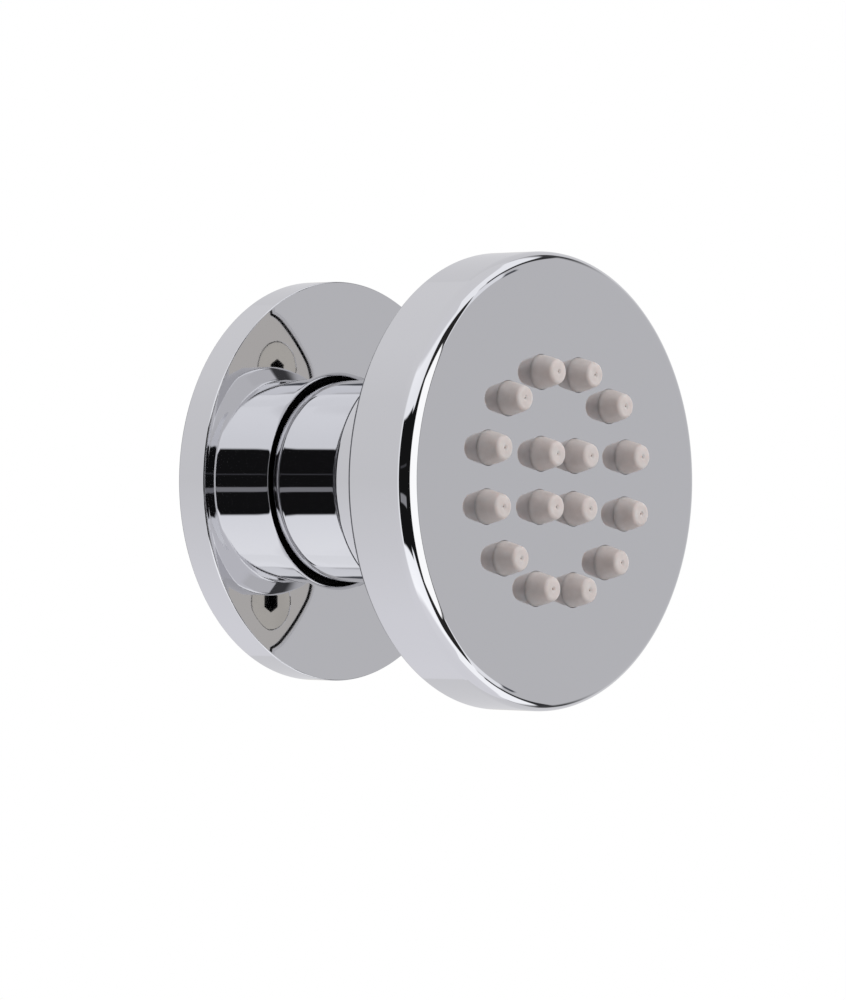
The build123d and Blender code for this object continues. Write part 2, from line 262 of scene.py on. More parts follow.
@dataclass(frozen=True)
class TurnedMetal(Finish):
    """Turned metal: rings left by the tool, and small changes of gloss and tarnish.

    Attributes:
        feed: Distance from ring to ring along the axis, in millimetres. A real tool leaves rings too fine
            to show, so they are drawn this coarse.
        feed_depth: Depth of the rings, in millimetres.
        wander: How much the rings wander.
        tarnish: Darker tone that lies in patches.
        tarnish_band: Values of the patches where that tone ends and where the plain colour starts.
        patch: Width of those patches, in millimetres.
        patch_spread: Share of the roughness that they add or take.
    """

    feed: float = 2.199
    feed_depth: float = 0.01
    wander: float = 0.4
    tarnish: str = "#8A6A34"
    tarnish_band: tuple[float, float] = (0.35, 0.6)
    patch: float = 6.0
    patch_spread: float = 0.3

    def pattern(self, tree: Tree, shader: Node, place: Socket) -> None:
        """Add the rings as bump and the tarnish as a change of colour and gloss.

        Args:
            tree: The material's nodes.
            shader: The principled shader.
            place: Object coordinates.
        """
        ring = add(
            tree,
            "TexWave",
            {
                "Vector": place,
                "Scale": per_mm(self.feed) / WAVE_BANDS,
                "Distortion": self.wander,
                "Detail": 1.0,
            },
            bands_direction="Y",
        )
        self.emboss(tree, shader, ring.outputs["Fac"], self.feed_depth)
        patch = add(tree, "TexNoise", {"Vector": place, "Scale": per_mm(self.patch), "Detail": 5.0})
        tone = add(
            tree,
            "ValToRGB",
            {"Fac": patch.outputs["Fac"]},
            stops=tuple(zip(self.tarnish_band, (self.tarnish, self.colour))),
        )
        tree.links.new(tone.outputs["Color"], shader.inputs["Base Color"])
        self.spread_roughness(tree, shader, patch.outputs["Fac"], self.roughness * self.patch_spread)


@dataclass(frozen=True)
class Polymer(Finish):
    """A plastic or rubber, moulded or turned: fine grain, mottled tone and, where milky, light inside.

    Attributes:
        shade: Second tone of the mottling.
        mottle: Width of the mottled patches, in millimetres.
        mottle_band: Values of the mottling where that tone ends and where the plain colour starts.
        grain: Width of the surface's grain, in millimetres.
        grain_depth: Depth of the grain, in millimetres.
        grain_spread: Share of the roughness that it adds or takes.
        milk: Share of light that goes under the surface.
        milk_depth: How far it goes, in millimetres, for red, green and blue.
    """

    shade: str = "#808080"
    mottle: float = 3.0
    mottle_band: tuple[float, float] = (0.3, 0.7)
    grain: float = 0.25
    grain_depth: float = 0.006
    grain_spread: float = 0.15
    milk: float = 0.0
    milk_depth: tuple[float, float, float] = (1.0, 1.0, 1.0)

    def pattern(self, tree: Tree, shader: Node, place: Socket) -> None:
        """Add the mottling as colour, the grain as bump and the milkiness as scattering.

        Args:
            tree: The material's nodes.
            shader: The principled shader.
            place: Object coordinates.
        """
        shader.inputs["Subsurface Weight"].default_value = self.milk
        shader.inputs["Subsurface Radius"].default_value = self.milk_depth
        shader.inputs["Subsurface Scale"].default_value = MM
        mottle = add(tree, "TexNoise", {"Vector": place, "Scale": per_mm(self.mottle), "Detail": 4.0})
        tone = add(
            tree,
            "ValToRGB",
            {"Fac": mottle.outputs["Fac"]},
            stops=tuple(zip(self.mottle_band, (self.shade, self.colour))),
        )
        tree.links.new(tone.outputs["Color"], shader.inputs["Base Color"])
        grain = add(tree, "TexNoise", {"Vector": place, "Scale": per_mm(self.grain), "Detail": 2.0})
        self.emboss(tree, shader, grain.outputs["Fac"], self.grain_depth)
        self.spread_roughness(tree, shader, grain.outputs["Fac"], self.roughness * self.grain_spread)


@dataclass(frozen=True)
class CellFoam(Finish):
    """Closed-cell foam rubber cut from sheet: a matt skin of small open cells, with painted shade in their
    pits.

    Attributes:
        cell: Width of a cell, in millimetres.
        cell_depth: Depth of an open cell, in millimetres.
        pit: Painted shade down in a cell, the colour of its darker middle.
        pit_band: Distances from a cell's middle, in cells, where that painted shade ends and the plain
            colour starts.
    """

    cell: float = 0.7
    cell_depth: float = 0.12
    pit: str = "#0C0C0D"
    pit_band: tuple[float, float] = (0.1, 0.55)

    def pattern(self, tree: Tree, shader: Node, place: Socket) -> None:
        """Add the cells as pits that are deeper in the middle, and darker there as painted shade.

        Args:
            tree: The material's nodes.
            shader: The principled shader.
            place: Object coordinates.
        """
        cells = add(tree, "TexVoronoi", {"Vector": place, "Scale": per_mm(self.cell)})
        # Painted shade in the pits: darker towards each cell's middle
        tone = add(
            tree,
            "ValToRGB",
            {"Fac": cells.outputs["Distance"]},
            stops=tuple(zip(self.pit_band, (self.pit, self.colour))),
        )
        tree.links.new(tone.outputs["Color"], shader.inputs["Base Color"])
        self.emboss(tree, shader, cells.outputs["Distance"], self.cell_depth)


# Plated and buffed: a clear mirror with the least haze, so its edges read as thin bright and dark lines.
CHROME = PolishedChrome("polished chrome plate", "#DFDFE1", roughness=0.025, metallic=1.0)

# Bare from the lathe: warm and half bright, with tool rings and darker patches.
BRASS = TurnedMetal("turned brass", "#C9A35A", roughness=0.28, metallic=1.0)

# The bore behind the flange's mouth: dull turned brass painted dark as shade, so the gap round the neck
# reads as black.
BORE_SHADE = TurnedMetal("turned brass painted dark as bore shade", "#1A1918", roughness=0.7, tarnish="#100F0F")

# Screw heads polished flush: nearly as bright as the plating round them, and a shade warmer.
STEEL = TurnedMetal(
    "polished stainless steel",
    "#DBDAD8",
    roughness=0.05,
    metallic=1.0,
    tarnish="#D4D3D1",
    feed_depth=0.0005,
)

# Broached sockets painted near black as the shade down in them: they give back next to no light and read as
# black hexagons.
SOCKET_SHADE = TurnedMetal("broached steel painted dark as socket shade", "#121212", roughness=0.6, tarnish="#0A0A0A")

# Straight from the mould and translucent: matt, with light that sinks in and softens its shadows.
SILICONE = Polymer(
    "moulded grey silicone",
    "#D9D1CF",
    roughness=0.5,
    shade="#CFC6C3",
    mottle=1.6,
    milk=0.8,
    milk_depth=(1.5, 1.25, 1.15),
)

# Moulded without pigment: a waxy off-white with a soft sheen.
ACETAL = Polymer(
    "moulded natural acetal",
    "#E6E4DC",
    roughness=0.35,
    shade="#DEDBD2",
    milk=0.25,
    milk_depth=(1.0, 0.9, 0.7),
)

# Turned from white bar: brighter than the acetal, and duller.
PTFE = Polymer("turned white ptfe", "#F0F0EE", roughness=0.45, shade="#E6E6E3", milk=0.2)

# Moulded with carbon black: nearly black and matt, with a fine grain.
RUBBER = Polymer("moulded black rubber", "#1B1B1C", roughness=0.55, shade="#141415", grain_depth=0.01)

# Cut from sheet: matt and nearly black, speckled with painted shade in the cells that the knife opened.
FOAM = CellFoam("closed-cell foam rubber", "#2A2A2B", roughness=0.9)


@dataclass(frozen=True)
class Envelope:
    """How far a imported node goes.

    Attributes:
        radius: Its radius about the jet's axis.
        rear: Its least reach.
        front: Its greatest reach.
    """

    radius: float
    rear: float
    front: float

    @classmethod
    def of(cls, node: str) -> "Envelope":
        """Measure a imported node, in millimetres."""
        low, high = (np.array(corner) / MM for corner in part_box(node))
        return cls(radius=float(high[0]), rear=float(-high[1]), front=float(-low[1]))


def angles(count: int) -> np.ndarray:
    """Angles of a full turn, in even steps from nought."""
    return np.arange(count) * (2 * math.pi / count)


def all_round(values: Union[np.ndarray, Sequence[float]], count: int) -> np.ndarray:
    """Grid with one row per value, which is the same in so many columns."""
    return np.repeat(np.reshape(values, (-1, 1)), count, axis=1)


@dataclass(frozen=True)
class Round:
    """A circle across the jet.

    Attributes:
        radius: Its radius.
        x: Its centre to the right of the jet's axis.
        z: Its centre above the axis.
        segments: How many points it has.
    """

    radius: float
    x: float = 0.0
    z: float = 0.0
    segments: int = RING_SEGMENTS

    def points(self) -> np.ndarray:
        """Points x = cx + r cos(a), z = cz + r sin(a), for angles a spread evenly."""
        angle = angles(self.segments)
        return np.stack([self.x + self.radius * np.cos(angle), self.z + self.radius * np.sin(angle)], -1)


def rounded(corners: Sequence[Corner], closed: bool = False) -> np.ndarray:
    """Work out a path of radius and reach through corners, some of them rounded.

    A rounded corner is an arc that touches both its sides: p(t) = c + (sin((1-t)w) s + sin(tw) e) / sin(w),
    where s and e lead from the arc's centre c to its ends and w is the angle between them. A point just
    outside each end keeps the flat beside it flat.

    Args:
        corners: Radius and reach of each corner, and its rounding where it has one.
        closed: True if the path returns to its first corner.

    Returns:
        Points of the path, one row each.
    """
    sharp = np.array([corner[:2] for corner in corners], float)
    before = np.roll(sharp, 1, axis=0) - sharp
    after = np.roll(sharp, -1, axis=0) - sharp
    parts = []
    for place, corner in enumerate(corners):
        if len(corner) < 3:
            parts.append(sharp[place][None])
            continue
        back = before[place] / np.linalg.norm(before[place])
        ahead = after[place] / np.linalg.norm(after[place])
        half = math.acos(float(np.clip(back @ ahead, -1, 1))) / 2
        bisector = (back + ahead) / np.linalg.norm(back + ahead)
        centre = sharp[place] + bisector * corner[2] / math.sin(half)
        start = sharp[place] + back * corner[2] / math.tan(half)
        end = sharp[place] + ahead * corner[2] / math.tan(half)
        sweep = math.pi - 2 * half
        steps = max(ARC_LEAST_STEPS, math.ceil(sweep / ARC_STEP))
        share = np.linspace(0, 1, steps + 1)[:, None]
        turn = np.sin((1 - share) * sweep) * (start - centre) + np.sin(share * sweep) * (end - centre)
        parts.append((start + back * SUPPORT)[None])
        parts.append(centre + turn / math.sin(sweep))
        parts.append((end + ahead * SUPPORT)[None])
    if closed:
        parts.append(parts[0][:1])
    return np.vstack(parts)


def polar_grid(radius: np.ndarray, reach: np.ndarray, centre: tuple[float, float] = (0, 0)) -> np.ndarray:
    """Points x = cx + r cos(a), y = -reach, z = cz + r sin(a), with one angle a for each column."""
    angle = angles(radius.shape[1])
    return np.stack([centre[0] + radius * np.cos(angle), -reach, centre[1] + radius * np.sin(angle)], -1)


def turned(path: np.ndarray, segments: int, centre: tuple[float, float] = (0, 0)) -> np.ndarray:
    """Turn a path of radius and reach round an axis along the jet, as a grid of points."""
    return polar_grid(all_round(path[:, 0], segments), all_round(path[:, 1], segments), centre)


def hexagon(across: float, segments: int, corner: float = 0.0) -> np.ndarray:
    """Radii of a hexagon: half its width over the cosine of the angle from the nearest flat's middle."""
    from_flat = np.mod(angles(segments) - corner, math.pi / 3) - math.pi / 6
    return across / 2 / np.cos(from_flat)


def screw_thread(
    along: np.ndarray, segments: int, crest: float, pitch: float, depth: float, fade: np.ndarray
) -> np.ndarray:
    """Radii of a screw thread as a height field over its own cylinder.

    The radius is the crest less the depth times a rounded triangle wave of along / pitch + angle / turn.

    Args:
        along: Distances along the axis, one per row.
        segments: How many angles.
        crest: Radius at the thread's crest.
        pitch: Distance from crest to crest.
        depth: Height of the thread.
        fade: Share of the full depth in each row.

    Returns:
        Radii, one row per distance and one column per angle.
    """
    turn = np.arange(segments) / segments
    phase = np.mod(along[:, None] / pitch + turn, 1.0)
    triangle = np.abs(2 * phase - 1)
    rounded_wave = np.clip((triangle - THREAD_FLAT) / (1 - 2 * THREAD_FLAT), 0, 1)
    return crest - depth * fade[:, None] * rounded_wave


class Surface:
    """Collects grids and flat webs, in millimetres, and joins them into one mesh."""

    def __init__(self) -> None:
        """Start with nothing."""
        self.points: list[np.ndarray] = []
        self.faces: list[list[int]] = []
        self.slots: list[int] = []
        self.others: list[Finish] = []
        self.count = 0

    def keep(self, points: np.ndarray, faces: np.ndarray, finish: Optional[Finish] = None) -> None:
        """Take points, and faces that number them from nought.

        Args:
            points: Points, one row each.
            faces: Corners of the faces, one row each.
            finish: Finish of these faces where it isn't the piece's own.
        """
        if finish is not None and finish not in self.others:
            self.others.append(finish)
        slot = 0 if finish is None else 1 + self.others.index(finish)
        self.points.append(points)
        self.faces += (faces + self.count).tolist()
        self.slots += [slot] * len(faces)
        self.count += len(points)

    def grid(self, points: np.ndarray, finish: Optional[Finish] = None) -> None:
        """Take a grid of points whose columns close on themselves, as quads.

        Args:
            points: Points, one row per step along the surface and one column per angle.
            finish: Finish of these faces where it isn't the piece's own.
        """
        rows, columns = points.shape[:2]
        here = np.arange(rows * columns).reshape(rows, columns)
        beside = np.roll(here, -1, axis=1)
        quads = np.stack([here[:-1], beside[:-1], beside[1:], here[1:]], -1)
        self.keep(points.reshape(-1, 3), quads.reshape(-1, 4), finish)

    def web(self, reach: float, outer: Round, holes: Sequence[Round]) -> None:
        """Take a flat web across the jet, between an outer circle and round holes.

        The circles are joined by triangles, and those whose middle lies in a hole are left out.

        Args:
            reach: Where the web lies.
            outer: Its edge.
            holes: Its holes.
        """
        rings = [outer, *holes]
        flat = np.vstack([ring.points() for ring in rings])
        starts = np.cumsum([0] + [ring.segments for ring in rings])
        edges = [
            (int(start + step), int(start + (step + 1) % ring.segments))
            for start, ring in zip(starts, rings)
            for step in range(ring.segments)
        ]
        corners = [Vector(point) for point in flat]
        found = delaunay_2d_cdt(corners, edges, [], INSIDE_EDGES, WEB_MERGE)
        faces = np.array(found[2])
        middle = flat[faces].mean(axis=1)
        centres = np.array([(ring.x, ring.z) for ring in holes])
        radii = np.array([ring.radius for ring in holes])
        away = np.linalg.norm(middle[:, None] - centres[None], axis=-1)
        kept = faces[(away > radii).all(axis=1)]
        points = np.stack([flat[:, 0], np.full(len(flat), -reach), flat[:, 1]], -1)
        self.keep(points, kept)

    def piece(self, name: str, finish: Finish) -> bpy.types.Object:
        """Make the object: doubles merged, faces outwards, smooth but for its sharp edges.

        Args:
            name: Name of the object.
            finish: What it is made of, where no other finish was given.

        Returns:
            The object, at the origin.
        """
        mesh = bpy.data.meshes.new(name)
        mesh.from_pydata((np.vstack(self.points) * MM).tolist(), [], self.faces)
        mesh.polygons.foreach_set("material_index", self.slots)
        work = bmesh.new()
        work.from_mesh(mesh)
        bmesh.ops.remove_doubles(work, verts=work.verts, dist=MERGE)
        bmesh.ops.dissolve_degenerate(work, edges=work.edges, dist=MERGE)
        bmesh.ops.recalc_face_normals(work, faces=work.faces)
        open_edges = sum(1 for edge in work.edges if not edge.is_manifold)
        work.to_mesh(mesh)
        work.free()
        mesh.shade_smooth()
        mesh.set_sharp_from_angle(angle=SHARP_ANGLE)
        for used in (finish, *self.others):
            mesh.materials.append(used.material())
        made = bpy.data.objects.new(name, mesh)
        bpy.context.scene.collection.objects.link(made)
        log.info("%s: %d faces, %d open edges", name, len(mesh.polygons), open_edges)
        return made


def stand_for(piece: bpy.types.Object, node: str, body: Body) -> bpy.types.Object:
    """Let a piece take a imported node's place.

    Args:
        piece: The new piece.
        node: The node that it stands for.
        body: The body that it rides on.

    Returns:
        The piece.
    """
    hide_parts(node)
    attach(piece, body.value)
    return piece


@dataclass
class WallFlange:
    """Chrome cup on the wall, with a hole for the neck and a web that the nipple clamps."""

    hole_radius: float = 16.5
    web_hole_radius: float = 11.4775
    web: float = 1.2
    front_wall: float = 2.0
    rim_wall: float = 2.2
    tube_wall: float = 1.8
    edge_round: float = 0.3
    mouth_round: float = 0.9
    plating_depth: float = 2.0
    back_round: float = 0.2
    roll_start: float = 28.7
    roll_end: float = 30.9
    mouth_roll_start: float = 20.3
    mouth_roll_end: float = 17.4
    roll_drop: float = 0.05
    mouth_drop: float = 0.04
    roll_steps: int = 10

    def roll(self, front: float, start: float, end: float, drop: float) -> np.ndarray:
        """Path that buffing rolls off: reach = front - drop ((r - start) / (end - start))^2."""
        share = np.linspace(0, 1, self.roll_steps)
        return np.stack([start + share * (end - start), front - drop * share**2], -1)

    def paths(self, size: Envelope) -> tuple[np.ndarray, np.ndarray]:
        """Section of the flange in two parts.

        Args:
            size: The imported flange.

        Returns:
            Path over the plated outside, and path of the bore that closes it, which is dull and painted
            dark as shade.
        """
        tube = self.hole_radius + self.tube_wall
        recess = size.radius - self.rim_wall
        floor = size.front - self.front_wall
        edge = self.roll(size.front, self.roll_start, self.roll_end, self.roll_drop)[::-1]
        mouth = self.roll(size.front, self.mouth_roll_start, self.mouth_roll_end, self.mouth_drop)
        # Past this brink the bore is painted dark as shade
        brink = (self.hole_radius, size.front - self.mouth_drop - self.plating_depth)
        plated = rounded(
            [
                (self.web_hole_radius, size.rear),
                (tube, size.rear),
                (tube, floor),
                (recess, floor, self.back_round),
                (recess, size.rear, self.back_round),
                (size.radius, size.rear, self.back_round),
                (size.radius, size.front - self.roll_drop, self.edge_round),
                *map(tuple, edge),
                *map(tuple, mouth),
                (self.hole_radius, size.front - self.mouth_drop, self.mouth_round),
                brink,
            ]
        )
        bore = rounded(
            [
                brink,
                (self.hole_radius, self.web),
                (self.web_hole_radius, self.web),
                (self.web_hole_radius, size.rear),
            ]
        )
        return plated, bore

    def build(self) -> bpy.types.Object:
        """Make and dress the flange.

        Returns:
            The flange.
        """
        surface = Surface()
        plated, bore = self.paths(Envelope.of("wall_flange"))
        surface.grid(turned(plated, RING_SEGMENTS))
        # The bore is painted dark as shade, so the gap round the neck reads as black
        surface.grid(turned(bore, RING_SEGMENTS), BORE_SHADE)
        piece = surface.piece("polished_wall_flange", CHROME)
        return stand_for(piece, "wall_flange", Body.WALL)


@dataclass
class WallGasket:
    """Foam ring in the back of the flange, cut from sheet and a little crowned where it is squeezed."""

    inner_radius: float = 18.4
    edge_round: float = 0.5
    crown: float = 0.1
    crown_span: float = 0.8
    crown_steps: int = 9
    ripple: float = 0.04
    ripple_counts: tuple[int, int] = (7, 19)
    ripple_shares: tuple[float, float] = (0.6, 0.4)
    ripple_shift: float = 1.0

    def build(self) -> bpy.types.Object:
        """Make and dress the gasket.

        Both faces are hollowed a little between their edges, reach = end +- crown (1 - s^2), and the
        outline wavers by two sines of the angle, as knife-cut foam does.

        Returns:
            The gasket.
        """
        size = Envelope.of("wall_gasket")
        inner = self.inner_radius + self.ripple
        outer = size.radius - self.ripple
        share = np.linspace(-self.crown_span, self.crown_span, self.crown_steps)
        radii = (inner + outer) / 2 + share * (outer - inner) / 2
        hollow = self.crown * (1 - share**2)
        rear = np.stack([radii, size.rear + hollow], -1)
        front = np.stack([radii[::-1], size.front - hollow], -1)
        path = rounded(
            [
                (inner, size.rear, self.edge_round),
                *map(tuple, rear),
                (outer, size.rear, self.edge_round),
                (outer, size.front, self.edge_round),
                *map(tuple, front),
                (inner, size.front, self.edge_round),
            ],
            closed=True,
        )
        angle = angles(RING_SEGMENTS)
        slow, fast = self.ripple_counts
        broad, narrow = self.ripple_shares
        waver = broad * np.sin(slow * angle) + narrow * np.sin(fast * angle + self.ripple_shift)
        radius = path[:, :1] + self.ripple * waver
        surface = Surface()
        surface.grid(polar_grid(radius, all_round(path[:, 1], RING_SEGMENTS)))
        piece = surface.piece("foam_wall_gasket", FOAM)
        return stand_for(piece, "wall_gasket", Body.WALL)


@dataclass
class BallNipple:
    """Brass inlet nipple: half-inch pipe thread, stop shoulder, shank and ball, bored through."""

    thread_radius: float = 10.4775
    thread_pitch: float = 1.814
    thread_depth: float = 1.162
    thread_chamfer: float = 1.0
    thread_end: float = 0.4
    fade: float = 1.4
    rows_per_turn: int = 12
    stop_rear: float = 1.2
    stop_front: float = 2.4
    shank_radius: float = 6.2
    ball_radius: float = 9.0
    ball_reach: float = 12.0
    ball_flat_radius: float = 5.4
    ball_steps: int = 40
    edge_round: float = 0.25
    key: float = 8.0
    bore_radius: float = 6.5
    bore_stop: float = -1.5
    lip_radius: float = 7.0
    lip_seat: float = -13.05
    segments: int = 192

    def thread(self, rear: float) -> tuple[np.ndarray, np.ndarray]:
        """Radii and reaches of the pipe thread, chamfered at the inlet and run out at the shoulder.

        Args:
            rear: Reach of the inlet end.

        Returns:
            Radii and reaches, one row per step along the axis.
        """
        count = math.ceil((self.thread_end - rear) / self.thread_pitch * self.rows_per_turn)
        along = np.linspace(rear, self.thread_end, count + 1)
        fade = np.clip((self.thread_end - along) / self.fade, 0, 1)
        cut = screw_thread(
            along, self.segments, self.thread_radius, self.thread_pitch, self.thread_depth, fade
        )
        chamfer = self.thread_radius - self.thread_chamfer + (along - rear)
        radius = np.minimum(cut, chamfer[:, None])
        return radius, all_round(along, self.segments)

    def strip(self, path: np.ndarray) -> tuple[np.ndarray, np.ndarray]:
        """Radii and reaches of a plain turned stretch."""
        return all_round(path[:, 0], self.segments), all_round(path[:, 1], self.segments)

    def build(self) -> bpy.types.Object:
        """Make and dress the nipple as one grid that goes along the outside and back through the bore.

        Returns:
            The nipple.
        """
        size = Envelope.of("ball_nipple")
        foot = -math.sqrt(self.ball_radius**2 - self.shank_radius**2)
        latitude = np.linspace(
            math.asin(foot / self.ball_radius),
            math.acos(self.ball_flat_radius / self.ball_radius),
            self.ball_steps,
        )
        ball = np.stack(
            [self.ball_radius * np.cos(latitude), self.ball_reach + self.ball_radius * np.sin(latitude)], -1
        )
        outside = rounded(
            [
                (self.thread_radius, self.thread_end),
                (self.thread_radius, self.stop_rear),
                (size.radius, self.stop_rear, self.edge_round),
                (size.radius, self.stop_front, self.edge_round),
                (self.shank_radius, self.stop_front, self.edge_round),
                (self.shank_radius, self.ball_reach + foot - SUPPORT),
            ]
        )
        bore = rounded(
            [
                (self.bore_radius, self.bore_stop),
                (self.bore_radius, self.lip_seat),
                (self.lip_radius, self.lip_seat),
                (self.lip_radius, size.rear),
            ]
        )
        key = np.repeat(hexagon(self.key, self.segments)[None], 2, axis=0)
        key_reach = all_round([size.front, self.bore_stop], self.segments)
        thread = self.thread(size.rear)
        closing = (thread[0][:1], thread[1][:1])
        outer = [thread, self.strip(outside), self.strip(ball)]
        inner = [(key, key_reach), self.strip(bore), closing]
        radii, reaches = (np.vstack(part) for part in zip(*outer, *inner))
        surface = Surface()
        surface.grid(polar_grid(radii, reaches))
        piece = surface.piece("threaded_ball_nipple", BRASS)
        return stand_for(piece, "ball_nipple", Body.WALL)


@dataclass
class NozzleField:
    """Where the nozzles and the back screws stand on the head, on rings turned with the head."""

    outer_radius: float = 17.0
    outer_count: int = 12
    inner_radius: float = 5.7
    inner_count: int = 4
    screw_radius: float = 27.1
    screw_count: int = 4
    turn: float = -1.4

    def spread(self, radius: float, count: int) -> np.ndarray:
        """Places x and z of a ring: half a step, plus the head's turn, then even steps."""
        angle = (np.arange(count) + 0.5) * (2 * math.pi / count) + math.radians(self.turn)
        return np.stack([radius * np.cos(angle), radius * np.sin(angle)], -1)

    def nozzles(self) -> np.ndarray:
        """Places of the sixteen nozzles."""
        outer = self.spread(self.outer_radius, self.outer_count)
        return np.vstack([outer, self.spread(self.inner_radius, self.inner_count)])

    def screws(self) -> np.ndarray:
        """Places of the four screws."""
        return self.spread(self.screw_radius, self.screw_count)


def holes_at(places: Iterable[np.ndarray], radius: float, segments: int) -> list[Round]:
    """Circles of one radius at several places."""
    return [Round(radius, float(x), float(z), segments) for x, z in places]


@dataclass
class HeadBody:
    """Neck, sloped shoulder, hub and back plate in one turned and plated piece."""

    layout: NozzleField
    neck_radius: float = 15.9
    neck_bore: float = 13.5
    neck_mouth: float = 1.3
    neck_front: float = 18.2
    seat_stop: float = 12.75
    seat_bore: float = 12.9
    web: float = 2.5
    web_hole_radius: float = 6.5
    hub_rear: float = 20.3
    hub_radius: float = 18.3
    cavity_radius: float = 15.3
    cove: float = 0.3
    back: float = 37.8
    plate_front: float = 40.8
    clamp_radius: float = 22.9
    plate_seat_radius: float = 20.8
    chamber_radius: float = 19.4
    neck_edge_round: float = 0.4
    shoulder_foot_round: float = 1.1
    shoulder_top_round: float = 1.2
    plate_edge_round: float = 0.2
    plate_inset: float = 0.45
    screw_head_radius: float = 4.85
    screw_hole_radius: float = 2.55

    def build(self) -> bpy.types.Object:
        """Make and dress the head's body: turned strips, and two webs with the four screw holes.

        Returns:
            The head's body.
        """
        size = Envelope.of("head_body")
        seat_front = Envelope.of("thrust_washer").front
        plate_seat = Envelope.of("nozzle_plate").rear
        mouth = (self.neck_bore + self.neck_mouth, size.rear)
        hub_side = self.hub_radius + 2 * self.cove
        plate_radius = size.radius - self.plate_inset
        plate_side = plate_radius - self.plate_edge_round - MARGIN
        outside = rounded(
            [
                mouth,
                (self.neck_radius, size.rear, self.neck_edge_round),
                (self.neck_radius, self.neck_front, self.shoulder_foot_round),
                (self.hub_radius, self.hub_rear, self.shoulder_top_round),
                (self.hub_radius, self.back, self.cove),
                (hub_side, self.back),
            ]
        )
        plate_edge = rounded(
            [
                (plate_side, self.back),
                (plate_radius, self.back, self.plate_edge_round),
                (plate_radius, self.plate_front),
            ]
        )
        inside = rounded(
            [
                (self.clamp_radius, self.plate_front),
                (self.clamp_radius, size.front),
                (self.plate_seat_radius, size.front),
                (self.plate_seat_radius, plate_seat),
                (self.chamber_radius, plate_seat),
                (self.chamber_radius, self.plate_front),
                (self.cavity_radius, self.plate_front),
                (self.cavity_radius, seat_front + self.web),
                (self.web_hole_radius, seat_front + self.web),
                (self.web_hole_radius, seat_front),
                (self.seat_bore, seat_front),
                (self.seat_bore, self.seat_stop),
                (self.neck_bore, self.seat_stop),
                (self.neck_bore, size.rear + self.neck_mouth),
                mouth,
            ]
        )
        sink = self.screw_head_radius - self.screw_hole_radius
        hole = rounded(
            [
                (self.screw_head_radius, self.back),
                (self.screw_hole_radius, self.back + sink),
                (self.screw_hole_radius, self.plate_front),
            ]
        )
        places = self.layout.screws()
        surface = Surface()
        for path in (outside, plate_edge, inside):
            surface.grid(turned(path, RING_SEGMENTS))
        for place in places:
            surface.grid(turned(hole, HEX_SEGMENTS, tuple(place)))
        heads = holes_at(places, self.screw_head_radius, HEX_SEGMENTS)
        shanks = holes_at(places, self.screw_hole_radius, HEX_SEGMENTS)
        surface.web(self.back, Round(plate_side), [Round(hub_side), *heads])
        surface.web(self.plate_front, Round(plate_radius), [Round(self.clamp_radius), *shanks])
        piece = surface.piece("polished_head_body", CHROME)
        return stand_for(piece, "head_body", Body.HEAD)


@dataclass
class SprayFace:
    """Front cup of the head: flat face with sixteen holes, rim and the posts that the screws pull on."""

    layout: NozzleField
    rim_inner_radius: float = 34.0
    face_wall: float = 1.8
    rim_front_round: float = 2.6
    rim_rear_round: float = 0.9
    rim_lip_round: float = 0.08
    hole_radius: float = 2.7
    hole_edge: float = 0.03
    post_radius: float = 4.05
    post_rear: float = 40.8
    screw_hole_radius: float = 2.55
    screw_hole_depth: float = 5.0
    drill_point: float = 0.8

    def build(self) -> bpy.types.Object:
        """Make and dress the spray face: rim strips, two webs, the nozzle holes and the posts.

        Returns:
            The spray face.
        """
        size = Envelope.of("spray_face")
        inner = size.front - self.face_wall
        face_edge = size.radius - self.rim_front_round - MARGIN
        rim = rounded(
            [
                (self.rim_inner_radius, inner),
                (self.rim_inner_radius, size.rear, self.rim_lip_round),
                (size.radius, size.rear, self.rim_rear_round),
                (size.radius, size.front, self.rim_front_round),
                (face_edge, size.front),
            ]
        )
        mouth = self.hole_radius + self.hole_edge + MARGIN
        hole = rounded(
            [
                (mouth, size.front),
                (self.hole_radius, size.front, self.hole_edge),
                (self.hole_radius, inner),
            ]
        )
        post = rounded(
            [
                (self.post_radius, inner),
                (self.post_radius, self.post_rear),
                (self.screw_hole_radius, self.post_rear),
                (self.screw_hole_radius, self.post_rear + self.screw_hole_depth),
                (0, self.post_rear + self.screw_hole_depth + self.drill_point),
            ]
        )
        nozzles = self.layout.nozzles()
        screws = self.layout.screws()
        surface = Surface()
        surface.grid(turned(rim, RING_SEGMENTS))
        for place in nozzles:
            surface.grid(turned(hole, NOZZLE_SEGMENTS, tuple(place)))
        for place in screws:
            surface.grid(turned(post, HEX_SEGMENTS, tuple(place)))
        mouths = holes_at(nozzles, mouth, NOZZLE_SEGMENTS)
        bores = holes_at(nozzles, self.hole_radius, NOZZLE_SEGMENTS)
        posts = holes_at(screws, self.post_radius, HEX_SEGMENTS)
        surface.web(size.front, Round(face_edge), mouths)
        surface.web(inner, Round(self.rim_inner_radius), bores + posts)
        piece = surface.piece("polished_spray_face", CHROME)
        return stand_for(piece, "spray_face", Body.HEAD)


